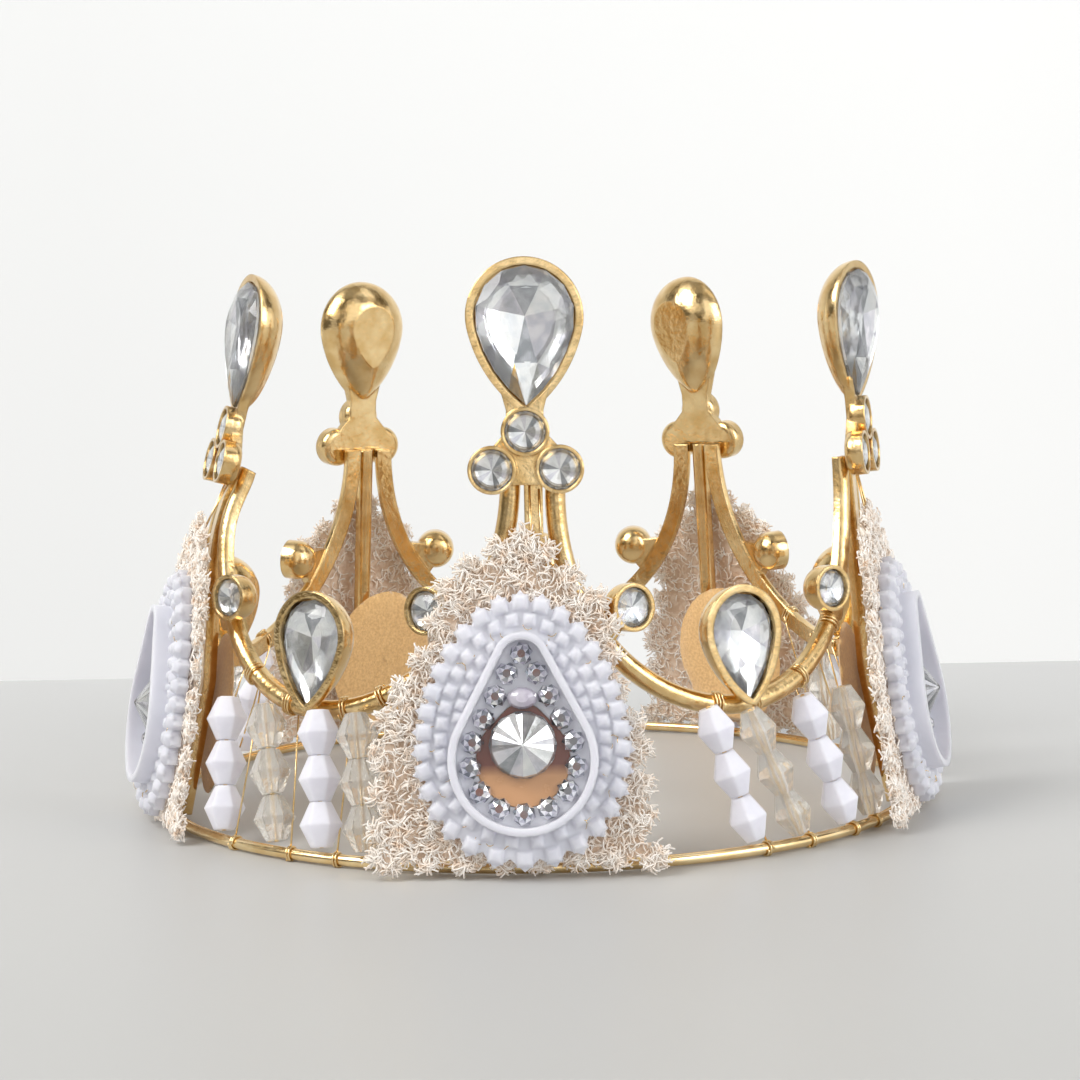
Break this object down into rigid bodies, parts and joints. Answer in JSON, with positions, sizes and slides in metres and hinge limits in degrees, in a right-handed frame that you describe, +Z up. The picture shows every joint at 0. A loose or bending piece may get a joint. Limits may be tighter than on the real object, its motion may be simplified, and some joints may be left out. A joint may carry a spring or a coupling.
{
  "type": "small five-peaked pageant crown",
  "caption": "Small five-peaked pageant crown: gilt castings on a wire ring, with cut stones, lace panels, milky medallions and strands of faceted beads.",
  "frame": {"origin": "centre of the wire ring, on the face that the crown stands on", "axes": "+Z up through the peaks; -Y towards the front peak; the other peaks follow every 72 degrees"},
  "size_m": [0.1214, 0.1194, 0.0776],
  "materials": {
    "gilt": "polished",
    "crystal": "foil-backed cut stone",
    "lace": "metallic looped thread",
    "milky": "translucent moulded",
    "peach": "glossy",
    "felt": "matt felt",
    "white_bead": "milky faceted",
    "clear_bead": "clear faceted, champagne tint"
  },
  "bodies": {
    "root": {"base_ring": "gilt", "scallop_1": "gilt", "scallop_2": "gilt", "scallop_3": "gilt", "scallop_4": "gilt", "scallop_5": "gilt", "stem_rod_1": "gilt", "stem_rod_2": "gilt", "stem_rod_3": "gilt", "stem_rod_4": "gilt", "stem_rod_5": "gilt", "crest_1": "gilt", "crest_2": "gilt", "crest_3": "gilt", "crest_4": "gilt", "crest_5": "gilt", "crest_pear_stone_1": "crystal", "crest_pear_stone_2": "crystal", "crest_pear_stone_3": "crystal", "crest_pear_stone_4": "crystal", "crest_pear_stone_5": "crystal", "valley_pear_stone_1": "crystal", "valley_pear_stone_2": "crystal", "valley_pear_stone_3": "crystal", "valley_pear_stone_4": "crystal", "valley_pear_stone_5": "crystal", "lace_1": "lace", "lace_2": "lace", "lace_3": "lace", "lace_4": "lace", "lace_5": "lace", "medallion_frame_1": "milky", "medallion_frame_2": "milky", "medallion_frame_3": "milky", "medallion_frame_4": "milky", "medallion_frame_5": "milky", "medallion_gems_1": "crystal", "medallion_gems_2": "crystal", "medallion_gems_3": "crystal", "medallion_gems_4": "crystal", "medallion_gems_5": "crystal", "backing_pad_1": "felt", "backing_pad_2": "felt", "backing_pad_3": "felt", "backing_pad_4": "felt", "backing_pad_5": "felt", "white_beads_1": "white_bead", "white_beads_2": "white_bead", "white_beads_3": "white_bead", "white_beads_4": "white_bead", "white_beads_5": "white_bead", "clear_beads_1": "clear_bead", "clear_beads_2": "clear_bead", "clear_beads_3": "clear_bead", "clear_beads_4": "clear_bead", "clear_beads_5": "clear_bead", "crest_round_stones": "crystal", "scroll_stones": "crystal", "peach_plaques": "peach", "strand_wires": "gilt"}
  },
  "joints": []
}
